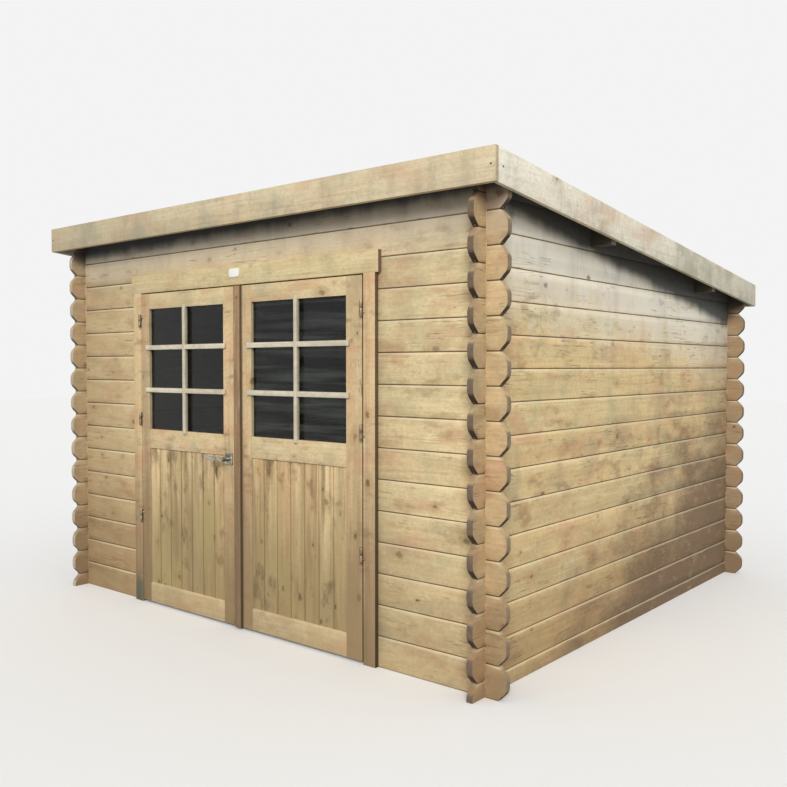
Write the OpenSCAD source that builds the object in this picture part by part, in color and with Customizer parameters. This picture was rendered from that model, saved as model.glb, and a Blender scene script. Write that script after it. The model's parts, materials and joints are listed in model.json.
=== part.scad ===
// Log cabin with a pent roof and a double door.
// Front (doors) faces -Y, +X is to the right along the front, +Z is up.
// The origin is under the middle of the roof outline, at ground level.

/* [Cabin] */
// Width over the outer faces of the side walls
cabin_w = 2808; // [2400:1:3600]
// Depth over the outer faces of the front and back walls
cabin_d = 2700; // [2200:1:3400]
// Number of log courses in the front wall
front_courses = 15; // [14:1:18]
// Number of log courses that run over the doorway
courses_over_door = 2; // [1:1:3]

/* [Logs] */
// Thickness of a wall log
log_t = 28; // [24:1:45]
// Height that one log covers
log_h = 133; // [120:1:146]
// Length of the front and back logs past the side walls
log_end = 96; // [60:1:120]
// Length of the side logs past the front and back walls
side_log_end = 86; // [60:1:120]
// Corner cut on the nose of a log end
nose_cut = 38; // [10:1:44]
// Bevel along the log edges that makes the V joint
joint_bevel = 3.5; // [1:0.1:6]
// Width of the tongue on top of a log
tongue_w = 9; // [6:0.5:11]
// Height of the tongue on top of a log
tongue_h = 8; // [4:0.5:12]

/* [Roof] */
// Slope of the roof from the front down to the back, in degrees
roof_pitch = 5.7; // [3:0.1:8]
// Room between the log ends and the front fascia
eave_front = 20; // [1:1:150]
// Room between the log ends and the side fascias
eave_side = 6; // [1:1:150]
// Room between the log ends and the back fascia
eave_back = 2; // [1:1:100]
// Thickness of the roof boards
deck_t = 16; // [12:1:25]
// Thickness of the roofing felt
felt_t = 3; // [2:0.5:6]
// Thickness of the fascia boards
fascia_t = 20; // [16:1:30]
// Height of the fascia boards
fascia_h = 131; // [100:1:200]
// Depth of the fascia below the underside of the roof boards
fascia_drop = 70; // [30:1:90]
// Width of a purlin
purlin_w = 45; // [35:1:70]
// Height of a purlin at its middle
purlin_h = 90; // [70:1:105]
// Distance from the front wall to the middle of the front purlin
purlin_front = 876; // [600:1:1000]
// Distance from the back wall to the middle of the rear purlin
purlin_rear = 564; // [300:1:800]

/* [Door frame] */
// Clear width between the door jambs
door_w = 1600; // [1400:1:1700]
// Width of a side jamb
jamb_w = 40; // [36:1:60]
// Height of the head jamb over the doors
head_jamb_h = 63; // [40:1:90]
// Width of the door stop on the jambs
stop_w = 15; // [10:1:25]
// Width of the outside casing boards
casing_w = 65; // [55:1:90]
// Thickness of the outside casing boards
casing_t = 22; // [16:1:30]
// Height of the head casing
head_casing_h = 95; // [85:1:130]
// Length of the head casing past each side casing
head_casing_lap = 18; // [5:1:40]
// Width of the inside casing boards
inner_casing_w = 42; // [30:1:70]
// Thickness of the inside casing boards
inner_casing_t = 18; // [14:1:24]

/* [Doors] */
// Thickness of a door leaf
leaf_t = 34; // [30:1:40]
// Gap between a leaf and the jamb at its hinges
hinge_gap = 8; // [6:0.5:12]
// Gap between the two leaves
meeting_gap = 6; // [6:0.5:10]
// Gap between the leaves and the head jamb
head_gap = 6; // [6:0.5:15]
// Gap between the leaves and the door stop
stop_gap = 6; // [5:0.5:10]
// Gap between the leaves and the ground
ground_gap = 12; // [6:1:30]
// Depth of the leaf faces behind the casing faces
leaf_inset = 2; // [0:0.5:6]
// Width of the left leaf's hinge stile
left_hinge_stile = 65; // [60:1:110]
// Width of the left leaf's meeting stile, with the cover strip on it
left_meeting_stile = 137; // [120:1:170]
// Width of the right leaf's hinge stile
right_hinge_stile = 92; // [60:1:110]
// Width of the right leaf's meeting stile
right_meeting_stile = 62; // [50:1:110]
// Height of the bottom rail
bottom_rail_h = 106; // [80:1:150]
// Height of the boarded panel between the bottom and middle rails
panel_h = 720; // [600:1:800]
// Height of the middle rail
mid_rail_h = 102; // [80:1:140]
// Height of the top rail
top_rail_h = 82; // [60:1:120]
// Thickness of the boarded panel
panel_t = 16; // [12:1:20]
// Depth of the boarded panel behind the leaf face
panel_inset = 7; // [4:1:10]
// Thickness of the glass
glass_t = 4; // [3:0.5:6]
// Depth of the glass behind the leaf face
glass_inset = 15; // [8:1:22]
// Depth of the grooves that hold the panel and the glass
groove_d = 9; // [6:0.5:12]
// Width of the cover strip on the left leaf
strip_w = 46; // [36:1:60]
// Thickness of the cover strip
strip_t = 18; // [12:1:25]
// Length of the cover strip that stands right of the middle of the doorway
strip_reach = 20; // [10:1:26]

/* [Hinges and handle] */
// Radius of a hinge barrel
barrel_r = 7; // [6:0.5:9]
// Height of one half of a hinge barrel
barrel_h = 34; // [25:1:45]
// Radius of a hinge pin
pin_r = 4; // [3:0.1:5]
// Height of the pin inside the upper barrel
pin_h = 24; // [15:1:24]
// Radius of a hinge shank
shank_r = 3.5; // [3:0.1:4.5]
// Length of a hinge shank from the middle of the barrel
shank_len = 52; // [40:1:54]
// Distance from the leaf face to the hinge axis
hinge_offset = 12; // [10:0.5:14]
// Height of the lowest hinge above the ground
low_hinge_z = 470; // [200:1:500]
// Height of the middle hinge above the ground
mid_hinge_z = 994; // [800:1:1100]
// Distance from the top of a leaf down to its top hinge
top_hinge_drop = 142; // [90:1:200]
// Height of the lever spindle above the ground
lever_z = 824; // [800:1:1000]
// Distance from the edge of the left leaf to the lever spindle
lever_backset = 96; // [92:1:110]
// Width of a lever plate
plate_w = 58; // [40:1:60]
// Height of a lever plate
plate_h = 58; // [50:1:110]
// Thickness of a lever plate
plate_t = 7; // [4:0.5:10]
// Corner radius of a lever plate
plate_corner = 8; // [3:0.5:15]
// Radius of the lever hub
hub_r = 11; // [9:0.5:14]
// Length of a lever from its spindle to its tip
lever_len = 116; // [90:1:140]
// Height of the lever arm
lever_h = 20; // [14:1:24]
// Thickness of the lever arm
lever_t = 15; // [10:1:20]
// Distance from the leaf face to the back of the lever arm
lever_standoff = 38; // [30:1:50]
// Radius of the lever spindle
spindle_r = 5; // [4:0.5:6]

/* [Hidden] */
$fn = 48;

// Clearances of the joinery
tongue_fit = 0.4;
notch_fit = 0.4;
seat_fit = 0.2;
groove_fit = 0.3;
shank_fit = 0.1;
pin_fit = 0.06;
barrel_fit = 0.3;
hub_fit = 0.3;
spindle_fit = 1;
log_end_fit = 0.3;

// Walls
half_w = cabin_w / 2;
overhang_front = side_log_end + eave_front + fascia_t;
overhang_side = log_end + eave_side + fascia_t;
overhang_back = side_log_end + eave_back + fascia_t;
front_y = overhang_front - (cabin_d + overhang_front + overhang_back) / 2;
back_y = front_y + cabin_d;
front_h = front_courses * log_h;
door_courses = front_courses - courses_over_door;
notch_d = log_h / 4;
notch_w = log_t + 2 * notch_fit;
front_log_len = cabin_w + 2 * log_end;
side_log_len = cabin_d + 2 * side_log_end;

// Height of the roof underside at depth y
function roof_z(y) = front_h - (y - front_y) * tan(roof_pitch);
side_courses = ceil((front_h - log_h / 2) / log_h);
back_courses = ceil(roof_z(back_y) / log_h);
roof_cut_top = front_h + log_h + cabin_d;

// Roof
roof_w = cabin_w + 2 * overhang_side;
roof_front_y = front_y - overhang_front;
roof_back_y = back_y + overhang_back;
deck_w = roof_w - 2 * fascia_t;
deck_front_y = roof_front_y + fascia_t;
deck_back_y = roof_back_y - fascia_t;
deck_h = deck_t / cos(roof_pitch);
felt_h = felt_t / cos(roof_pitch);
purlin_ys = [front_y + purlin_front, back_y - purlin_rear];

// Door frame
opening_h = door_courses * log_h;
door_h = opening_h - head_jamb_h;
jamb_x = door_w / 2;
log_stop_x = jamb_x + jamb_w + log_end_fit;
jamb_d = log_t + inner_casing_t;
casing_y = front_y - casing_t;
leaf_y = casing_y + leaf_inset;
stop_y = leaf_y + leaf_t + stop_gap;
casing_outer_x = jamb_x + casing_w;

// Doors
hinge_x = jamb_x - hinge_gap / 2;
hinge_y = leaf_y - hinge_offset;
leaf_low = ground_gap;
leaf_top = door_h - head_gap;
left_leaf_x = hinge_gap - jamb_x;
left_leaf_end = strip_reach;
right_leaf_x = strip_reach + meeting_gap;
right_leaf_end = jamb_x - hinge_gap;
panel_low = leaf_low + bottom_rail_h;
panel_top = panel_low + panel_h;
glass_low = panel_top + mid_rail_h;
glass_top = leaf_top - top_rail_h;
left_light = [left_leaf_x + left_hinge_stile, left_leaf_end - left_meeting_stile];
right_light = [right_leaf_x + right_meeting_stile, right_leaf_end - right_hinge_stile];
hinge_zs = [low_hinge_z, mid_hinge_z, leaf_top - top_hinge_drop];
strip_bevel = strip_t / 3;
shank_angle = 45;

// Lever
lever_x = left_leaf_end - lever_backset;
leaf_back_y = leaf_y + leaf_t;
lever_front_y = leaf_y - lever_standoff - lever_t;
lever_back_y = leaf_back_y + lever_standoff + lever_t;

// Cross section of a log: bevelled edges, tongue on top, groove or flat face below
module log_section(height, flat) {
    groove_w = tongue_w + 2 * tongue_fit;
    groove_top = tongue_h + tongue_fit;
    mid = log_t / 2;
    base = flat
        ? [[0, 0], [log_t, 0]]
        : [[0, joint_bevel], [joint_bevel, 0], [mid - groove_w / 2, 0], [mid - groove_w / 2, groove_top],
           [mid + groove_w / 2, groove_top], [mid + groove_w / 2, 0], [log_t - joint_bevel, 0],
           [log_t, joint_bevel]];
    top = [[log_t, height - joint_bevel], [log_t - joint_bevel, height], [mid + tongue_w / 2, height],
           [mid + tongue_w / 2, height + tongue_h], [mid - tongue_w / 2, height + tongue_h],
           [mid - tongue_w / 2, height], [joint_bevel, height], [0, height - joint_bevel]];
    polygon(concat(base, top));
}

// Corner cut of a log nose, with its corner at the origin and its arms along +X and +Y
module nose_corner() {
    reach = nose_cut + tongue_h;
    polygon([[-tongue_h, -tongue_h], [reach, -tongue_h], [nose_cut, 0], [0, nose_cut], [-tongue_h, reach]]);
}

// Side view of a log: noses at the free ends, a notch above and below at each crossing.
// A half log has no lower notch and no lower nose cut.
module log_view(length, height, crossings, noses) {
    whole = height == log_h;
    difference() {
        square([length, height + tongue_h]);
        for (x = crossings) {
            translate([x - notch_w / 2, height - notch_d])
                square([notch_w, notch_d + 2 * tongue_h]);
            if (whole)
                translate([x - notch_w / 2, -tongue_h])
                    square([notch_w, notch_d + tongue_h]);
        }
        for (end = noses)
            translate([end * length, 0])
                mirror([end, 0]) {
                    translate([0, height])
                        mirror([0, 1])
                            nose_corner();
                    if (whole)
                        nose_corner();
                }
    }
}

// One log along +X, with its outer lower edge at the origin
module wall_log(length, height, crossings, noses, flat) {
    intersection() {
        rotate([90, 0, 90])
            linear_extrude(length)
                log_section(height, flat);
        translate([0, log_t, 0])
            rotate([90, 0, 0])
                linear_extrude(log_t)
                    log_view(length, height, crossings, noses);
    }
}

// Prism along X over the whole width, drawn as a [y, z] outline
module along_x(x0, x1, outline) {
    translate([x0, 0, 0])
        rotate([90, 0, 90])
            linear_extrude(x1 - x0)
                polygon(outline);
}

// Band of constant height that follows the roof slope from y0 to y1
module roof_band(x0, x1, y0, y1, low, high) {
    along_x(x0, x1, [[y0, roof_z(y0) + low], [y1, roof_z(y1) + low], [y1, roof_z(y1) + high],
                     [y0, roof_z(y0) + high]]);
}

// Cuts a log off just under the roof boards, if it reaches them
module under_roof(top_z) {
    y0 = front_y - 2 * side_log_end;
    y1 = back_y + 2 * side_log_end;
    difference() {
        children();
        if (top_z > roof_z(y1))
            roof_band(-roof_w, roof_w, y0, y1, -seat_fit, roof_cut_top);
    }
}

// Logs of the front wall from x0 to x1 that start at the given course and go up in twos
module front_logs(x0, x1, first, last, crossings, noses) {
    for (course = [first : 2 : last])
        under_roof((course + 1) * log_h + tongue_h)
            translate([x0, front_y, course * log_h])
                wall_log(x1 - x0, log_h, crossings, noses, course == 0);
}

// Short logs left of the doorway
module front_left_logs(first) {
    color("BurlyWood")
        front_logs(-half_w - log_end, -log_stop_x, first, door_courses - 1, [log_end + log_t / 2], [0]);
}

// Short logs right of the doorway
module front_right_logs(first) {
    length = half_w + log_end - log_stop_x;
    color("BurlyWood")
        front_logs(log_stop_x, half_w + log_end, first, door_courses - 1, [length - log_end - log_t / 2], [1]);
}

// Long logs over the doorway
module front_header_logs(first) {
    color("BurlyWood")
        front_logs(-half_w - log_end, half_w + log_end, first, front_courses - 1,
                   [log_end + log_t / 2, front_log_len - log_end - log_t / 2], [0, 1]);
}

// Back wall logs
module back_wall_logs(first) {
    color("BurlyWood")
        for (course = [first : 2 : back_courses - 1])
            under_roof((course + 1) * log_h + tongue_h)
                translate([-half_w - log_end, back_y - log_t, course * log_h])
                    wall_log(front_log_len, log_h,
                             [log_end + log_t / 2, front_log_len - log_end - log_t / 2], [0, 1], course == 0);
}

// Side wall logs with their inner or outer face at x: a half log at the bottom, whole logs over it
module side_wall_logs(x, first) {
    color("Tan")
        for (course = [first : 2 : side_courses]) {
            z = course == 0 ? 0 : (course - 0.5) * log_h;
            height = course == 0 ? log_h / 2 : log_h;
            difference() {
                under_roof(z + height + tongue_h)
                    translate([x, front_y - side_log_end, z])
                        rotate([0, 0, 90])
                            wall_log(side_log_len, height,
                                     [side_log_end + log_t / 2, side_log_len - side_log_end - log_t / 2],
                                     [0, 1], course == 0);
                if (z + height + tongue_h > roof_z(back_y) - purlin_h)
                    purlin_bars(notch_fit, seat_fit);
            }
        }
}

// Purlin bars, wider by the given fit on each side and taller on top
module purlin_bars(side_fit, top_fit) {
    for (y = purlin_ys) {
        low = roof_z(y) - purlin_h;
        y0 = y - purlin_w / 2 - side_fit;
        y1 = y + purlin_w / 2 + side_fit;
        along_x(-deck_w / 2, deck_w / 2, [[y0, low], [y1, low], [y1, roof_z(y1) - seat_fit + top_fit],
                                          [y0, roof_z(y0) - seat_fit + top_fit]]);
    }
}

module purlins() {
    color("Peru")
        purlin_bars(0, 0);
}

// Roof boards as one sloping sheet between the fascia boards
module roof_deck() {
    color("Wheat")
        roof_band(-deck_w / 2, deck_w / 2, deck_front_y, deck_back_y, 0, deck_h);
}

module roof_felt() {
    color("DimGray")
        roof_band(-deck_w / 2, deck_w / 2, deck_front_y, deck_back_y, deck_h + seat_fit,
                  deck_h + seat_fit + felt_h);
}

// Fascia board that follows the roof slope
module fascia(x0, x1, y0, y1) {
    color("PaleGoldenrod")
        roof_band(x0, x1, y0, y1, -fascia_drop, fascia_h - fascia_drop);
}

module front_fascia() {
    fascia(-roof_w / 2, roof_w / 2, roof_front_y, deck_front_y);
}

module back_fascia() {
    fascia(-roof_w / 2, roof_w / 2, deck_back_y, roof_back_y);
}

module left_fascia() {
    fascia(-roof_w / 2, -deck_w / 2, deck_front_y, deck_back_y);
}

module right_fascia() {
    fascia(deck_w / 2, roof_w / 2, deck_front_y, deck_back_y);
}

// Box between two corners
module block(low, high) {
    translate(low)
        cube(high - low);
}

// Right door jamb with its stop, bored for the hinge shanks
module right_jamb() {
    color("DarkKhaki")
        difference() {
            linear_extrude(door_h)
                polygon([[jamb_x, front_y], [jamb_x + jamb_w, front_y], [jamb_x + jamb_w, front_y + jamb_d],
                         [jamb_x - stop_w, front_y + jamb_d], [jamb_x - stop_w, stop_y], [jamb_x, stop_y]]);
            frame_shanks(shank_fit);
        }
}

module left_jamb() {
    mirror([1, 0, 0])
        right_jamb();
}

// Head jamb with its stop between the side stops
module head_jamb() {
    color("DarkKhaki") {
        block([-jamb_x - jamb_w, front_y, door_h], [jamb_x + jamb_w, front_y + jamb_d, opening_h]);
        block([stop_w - jamb_x, stop_y, door_h - stop_w], [jamb_x - stop_w, front_y + jamb_d, door_h]);
    }
}

module right_casing() {
    color("Khaki")
        difference() {
            block([jamb_x, casing_y, 0], [casing_outer_x, front_y, door_h]);
            frame_shanks(shank_fit);
        }
}

module left_casing() {
    mirror([1, 0, 0])
        right_casing();
}

module head_casing() {
    end_x = casing_outer_x + head_casing_lap;
    color("Khaki")
        block([-end_x, casing_y, door_h], [end_x, front_y, door_h + head_casing_h]);
}

module right_inner_casing() {
    x = jamb_x + jamb_w;
    color("Khaki")
        block([x, front_y + log_t, 0], [x + inner_casing_w, front_y + jamb_d, opening_h]);
}

module left_inner_casing() {
    mirror([1, 0, 0])
        right_inner_casing();
}

module head_inner_casing() {
    x = jamb_x + jamb_w + inner_casing_w;
    color("Khaki")
        block([-x, front_y + log_t, opening_h], [x, front_y + jamb_d, opening_h + inner_casing_w]);
}

// Shank of a hinge half, along the angle in plan, at its own height
module shank(z, angle, fit) {
    translate([hinge_x, hinge_y, z])
        rotate([0, 90, angle])
            cylinder(r = shank_r + fit, h = shank_len + fit);
}

// Shanks of the frame halves of the right hinges
module frame_shanks(fit) {
    for (z = hinge_zs)
        shank(z - barrel_h / 2, shank_angle, fit);
}

// Shanks of the leaf halves of the right hinges
module leaf_shanks(fit) {
    for (z = hinge_zs)
        shank(z + barrel_h / 2, 180 - shank_angle, fit);
}

// Lower halves of the right hinges, with the pins
module right_hinge_pins() {
    color("Silver") {
        for (z = hinge_zs)
            translate([hinge_x, hinge_y, z - barrel_h]) {
                cylinder(r = barrel_r, h = barrel_h);
                cylinder(r = pin_r, h = barrel_h + pin_h);
            }
        frame_shanks(0);
    }
}

module left_hinge_pins() {
    mirror([1, 0, 0])
        right_hinge_pins();
}

// Upper halves of the right hinges, bored for the pins
module right_door_hinges() {
    color("Silver")
        difference() {
            union() {
                for (z = hinge_zs)
                    translate([hinge_x, hinge_y, z + barrel_fit])
                        cylinder(r = barrel_r, h = barrel_h);
                leaf_shanks(0);
            }
            for (z = hinge_zs)
                translate([hinge_x, hinge_y, z - barrel_h])
                    cylinder(r = pin_r + pin_fit, h = barrel_h + pin_h + 2 * barrel_fit);
        }
}

module left_door_hinges() {
    mirror([1, 0, 0])
        right_door_hinges();
}

// Boarded panel with its edges in the grooves, larger by the fit
module panel_sheet(light, fit) {
    edge = groove_d - groove_fit + fit;
    y = leaf_y + panel_inset;
    block([light[0] - edge, y - fit, panel_low - edge], [light[1] + edge, y + panel_t + fit, panel_top + edge]);
}

// Glass with its edges in the grooves, larger by the fit
module glass_sheet(light, fit) {
    edge = groove_d - groove_fit + fit;
    y = leaf_y + glass_inset;
    block([light[0] - edge, y - fit, glass_low - edge], [light[1] + edge, y + glass_t + fit, glass_top + edge]);
}

// Two stiles of a leaf that spans x0 to x1, grooved for the panel and the glass
module stiles(x0, x1, light) {
    difference() {
        union() {
            block([x0, leaf_y, leaf_low], [light[0], leaf_back_y, leaf_top]);
            block([light[1], leaf_y, leaf_low], [x1, leaf_back_y, leaf_top]);
        }
        panel_sheet(light, groove_fit);
        glass_sheet(light, groove_fit);
    }
}

// Bottom, middle and top rails between the stiles, grooved in the same way
module rails(light) {
    difference() {
        for (span = [[leaf_low, panel_low], [panel_top, glass_low], [glass_top, leaf_top]])
            block([light[0], leaf_y, span[0]], [light[1], leaf_back_y, span[1]]);
        panel_sheet(light, groove_fit);
        glass_sheet(light, groove_fit);
    }
}

module left_door_stiles() {
    color("Tan")
        difference() {
            stiles(left_leaf_x, left_leaf_end, left_light);
            mirror([1, 0, 0])
                leaf_shanks(shank_fit);
            translate([lever_x, leaf_y - plate_t, lever_z])
                rotate([-90, 0, 0])
                    cylinder(r = spindle_r + spindle_fit, h = leaf_t + 2 * plate_t);
        }
}

module right_door_stiles() {
    color("Tan")
        difference() {
            stiles(right_leaf_x, right_leaf_end, right_light);
            leaf_shanks(shank_fit);
        }
}

module left_door_rails() {
    color("Tan")
        rails(left_light);
}

module right_door_rails() {
    color("Tan")
        rails(right_light);
}

module left_door_panel() {
    color("BurlyWood")
        panel_sheet(left_light, 0);
}

module right_door_panel() {
    color("BurlyWood")
        panel_sheet(right_light, 0);
}

module left_door_glass() {
    color("LightBlue", 0.5)
        glass_sheet(left_light, 0);
}

module right_door_glass() {
    color("LightBlue", 0.5)
        glass_sheet(right_light, 0);
}

// Cover strip with bevelled edges on the meeting stile of the left leaf
module door_strip() {
    x0 = left_leaf_end - strip_w;
    x1 = left_leaf_end;
    face = leaf_y - strip_t;
    color("Sienna")
        translate([0, 0, leaf_low])
            linear_extrude(leaf_top - leaf_low)
                polygon([[x0, leaf_y], [x1, leaf_y], [x1, face + strip_bevel], [x1 - strip_bevel, face],
                         [x0 + strip_bevel, face], [x0, face + strip_bevel]]);
}

// Round-cornered outline of a lever plate
module plate_outline() {
    inner_w = plate_w - 2 * plate_corner;
    inner_h = plate_h - 2 * plate_corner;
    square([plate_w, inner_h], center = true);
    square([inner_w, plate_h], center = true);
    for (sx = [-1, 1], sy = [-1, 1])
        translate([sx * inner_w / 2, sy * inner_h / 2])
            circle(r = plate_corner);
}

// Lever plates on both faces of the left leaf, bored for the hub
module lever_plates() {
    color("LightGray")
        for (y = [leaf_y, leaf_back_y + plate_t])
            translate([lever_x, y, lever_z])
                rotate([90, 0, 0])
                    linear_extrude(plate_t)
                        difference() {
                            plate_outline();
                            circle(r = hub_r + hub_fit);
                        }
}

// Outline of the lever arm from the spindle to its round tip
module lever_outline() {
    tip = lever_h / 2;
    translate([tip - lever_len, -tip])
        square([lever_len - tip, lever_h]);
    translate([tip - lever_len, 0])
        circle(r = tip);
    circle(r = hub_r);
}

// Two levers on one spindle through the leaf
module door_lever() {
    color("Silver")
        translate([lever_x, 0, lever_z])
            rotate([90, 0, 0]) {
                translate([0, 0, -lever_back_y])
                    cylinder(r = spindle_r, h = lever_back_y - lever_front_y);
                translate([0, 0, -leaf_y])
                    cylinder(r = hub_r, h = leaf_y - lever_front_y);
                translate([0, 0, -lever_back_y])
                    cylinder(r = hub_r, h = lever_back_y - leaf_back_y);
                translate([0, 0, lever_standoff - leaf_y])
                    linear_extrude(lever_t)
                        lever_outline();
                translate([0, 0, -lever_back_y])
                    linear_extrude(lever_t)
                        lever_outline();
            }
}

front_left_logs(0);  // front_left_logs_a
front_left_logs(1);  // front_left_logs_b
front_right_logs(0);  // front_right_logs_a
front_right_logs(1);  // front_right_logs_b
front_header_logs(door_courses);  // front_header_logs_a
front_header_logs(door_courses + 1);  // front_header_logs_b
side_wall_logs(log_t - half_w, 0);  // left_wall_logs_a
side_wall_logs(log_t - half_w, 1);  // left_wall_logs_b
side_wall_logs(half_w, 0);  // right_wall_logs_a
side_wall_logs(half_w, 1);  // right_wall_logs_b
back_wall_logs(0);  // back_wall_logs_a
back_wall_logs(1);  // back_wall_logs_b
purlins();
roof_deck();
roof_felt();
front_fascia();
back_fascia();
left_fascia();
right_fascia();
left_jamb();
right_jamb();
head_jamb();
left_casing();
right_casing();
head_casing();
left_inner_casing();
right_inner_casing();
head_inner_casing();
left_hinge_pins();
right_hinge_pins();
left_door_stiles();
left_door_rails();
left_door_panel();
left_door_glass();
left_door_hinges();
right_door_stiles();
right_door_rails();
right_door_panel();
right_door_glass();
right_door_hinges();
door_strip();
lever_plates();
door_lever();
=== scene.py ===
"""Log cabin with a pent roof and a glazed double door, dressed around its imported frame."""

import json
import logging
import math
import random
from contextlib import contextmanager
from dataclasses import dataclass, replace
from enum import Enum, IntEnum
from functools import partial
from typing import Callable, Iterator, Mapping, Sequence

import bmesh
import bpy
from bpy.types import Material, NodeSocket, NodeTree, Object
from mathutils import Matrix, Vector

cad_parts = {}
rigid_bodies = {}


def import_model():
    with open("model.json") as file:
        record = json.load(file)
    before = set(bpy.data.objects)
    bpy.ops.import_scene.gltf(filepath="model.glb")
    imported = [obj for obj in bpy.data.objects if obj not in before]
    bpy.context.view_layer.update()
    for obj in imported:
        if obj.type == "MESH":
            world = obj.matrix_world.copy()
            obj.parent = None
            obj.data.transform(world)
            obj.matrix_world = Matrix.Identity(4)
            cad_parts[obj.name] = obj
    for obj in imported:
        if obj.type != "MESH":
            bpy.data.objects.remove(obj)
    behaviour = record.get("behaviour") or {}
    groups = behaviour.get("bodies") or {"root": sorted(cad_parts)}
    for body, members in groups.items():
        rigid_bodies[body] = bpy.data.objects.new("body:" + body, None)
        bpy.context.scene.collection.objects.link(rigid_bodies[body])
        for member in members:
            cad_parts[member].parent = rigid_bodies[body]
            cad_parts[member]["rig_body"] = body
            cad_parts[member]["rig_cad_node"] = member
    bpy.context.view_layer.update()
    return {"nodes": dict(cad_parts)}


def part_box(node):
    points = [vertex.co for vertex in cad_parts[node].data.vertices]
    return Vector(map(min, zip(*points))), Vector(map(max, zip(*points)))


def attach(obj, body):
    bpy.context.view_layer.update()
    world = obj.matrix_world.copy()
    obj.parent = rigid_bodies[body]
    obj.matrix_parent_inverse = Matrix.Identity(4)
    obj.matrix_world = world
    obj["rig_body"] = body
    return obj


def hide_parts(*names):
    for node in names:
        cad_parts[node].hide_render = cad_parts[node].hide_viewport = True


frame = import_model()
LOG = logging.getLogger("cabin")

Point = tuple[float, float, float]
Sockets = tuple[NodeSocket, NodeSocket, NodeSocket]
Value = NodeSocket | float | str | Sequence[float]

# Sizes that several pieces share, in metres
COURSE = 0.133
FRONT_Y = -1.341
ROOF_UNDER_Z = 1.995
ROOF_FALL = math.tan(math.radians(5.7))
LEAF_FACE_Y = -1.361
CASING_FACE_Y = -1.363
TOUCH = 1e-4
MERGE = 1e-5

# Bend of faces that count as one, in degrees, and least part of a square face's normal along its axis
COPLANAR = 0.5
SQUARE = 0.99

# How far the figure of a plank is moved along, across and through it, times the plank's number
PLANK_SHIFTS = (41.3, 17.7, 7.9)


class Seed(IntEnum):
    """Start of the random numbers of each kind of plank. A row of pieces counts on from it."""

    LOGS = 11
    ROOF_BOARDS = 30
    PURLINS = 31
    FASCIA = 40
    FRAME = 50
    STILES = 74
    RAILS = 84
    PANEL = 94
    UPRIGHT_BAR = 104
    LEVEL_BARS = 108
    STRIP = 110


class Side(IntEnum):
    """The two leaves of the door."""

    LEFT = 0
    RIGHT = 1


class Drive(Enum):
    """The turn of a round head that is driven along an axis."""

    X = (0.0, math.pi / 2, 0.0)
    Y = (math.pi / 2, 0.0, 0.0)
    Z = (0.0, 0.0, 0.0)


class Run(Enum):
    """The way the grain runs, then the way across the face, then through the plank."""

    ACROSS_FRONT = (0, 2, 1)
    FRONT_TO_BACK = (1, 2, 0)
    UPRIGHT = (2, 0, 1)
    DOWN_ROOF = (1, 0, 2)


def tint(code: str) -> tuple[float, float, float, float]:
    """Turns a screen colour into the linear colour that the nodes use.

    Args:
        code: colour as #rrggbb.

    Returns:
        Linear red, green, blue and an alpha of 1.
    """
    parts = [int(code[i:i + 2], 16) / 255 for i in (1, 3, 5)]
    linear = [p / 12.92 if p <= 0.04045 else ((p + 0.055) / 1.055) ** 2.4 for p in parts]
    return (linear[0], linear[1], linear[2], 1.0)


# Modelling by hand


def only(*pieces: Object) -> None:
    """Leaves just these objects selected.

    Args:
        pieces: the objects, of which the last one becomes active.
    """
    bpy.ops.object.select_all(action="DESELECT")
    for piece in pieces:
        piece.select_set(True)
        bpy.context.view_layer.objects.active = piece


@contextmanager
def editing(piece: Object) -> Iterator[None]:
    """Holds one piece in edit mode, with nothing of it selected at the start.

    Args:
        piece: the piece to edit.

    Yields:
        Nothing, once.
    """
    only(piece)
    bpy.ops.object.mode_set(mode="EDIT")
    bpy.ops.mesh.select_all(action="DESELECT")
    yield
    bpy.ops.object.mode_set(mode="OBJECT")


def choose(piece: Object, kind: str, test: Callable[..., bool]) -> int:
    """Selects the parts of a piece in edit mode that pass a test.

    Args:
        piece: the piece that is being edited.
        kind: VERT, EDGE or FACE.
        test: takes one such part of the mesh and says whether it is wanted.

    Returns:
        How many parts were selected.
    """
    bpy.ops.mesh.select_mode(type=kind)
    bpy.ops.mesh.select_all(action="DESELECT")
    mesh = bmesh.from_edit_mesh(piece.data)
    parts = {"VERT": mesh.verts, "EDGE": mesh.edges, "FACE": mesh.faces}[kind]
    found = [part for part in parts if test(part)]
    for part in found:
        part.select_set(True)
    mesh.select_flush_mode()
    bmesh.update_edit_mesh(piece.data)
    return len(found)


def runs_along(axis: int, least: float) -> Callable[..., bool]:
    """Returns a test for edges that run further than a length along an axis."""
    return lambda edge: abs(edge.verts[0].co[axis] - edge.verts[1].co[axis]) > least


def bevel(width: float, segments: int) -> None:
    """Bevels the selected edges of the piece in edit mode."""
    bpy.ops.mesh.bevel(offset=width, segments=segments, affect="EDGES", clamp_overlap=True)


def named(name: str) -> Object:
    """Names the active object and its mesh.

    Args:
        name: the name of both.

    Returns:
        The object.
    """
    piece = bpy.context.view_layer.objects.active
    piece.name = piece.data.name = name
    return piece


def start_block(name: str, low: Sequence[float], high: Sequence[float]) -> Object:
    """Adds a block between two corners, as the start of a piece.

    Args:
        name: the piece's name.
        low: lowest corner.
        high: highest corner.

    Returns:
        The block, with its place in its mesh.
    """
    a, b = Vector(low), Vector(high)
    bpy.ops.object.select_all(action="DESELECT")
    bpy.ops.mesh.primitive_cube_add(size=1, location=(a + b) / 2, scale=b - a)
    bpy.ops.object.transform_apply(location=True, rotation=True, scale=True)
    return named(name)


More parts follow.
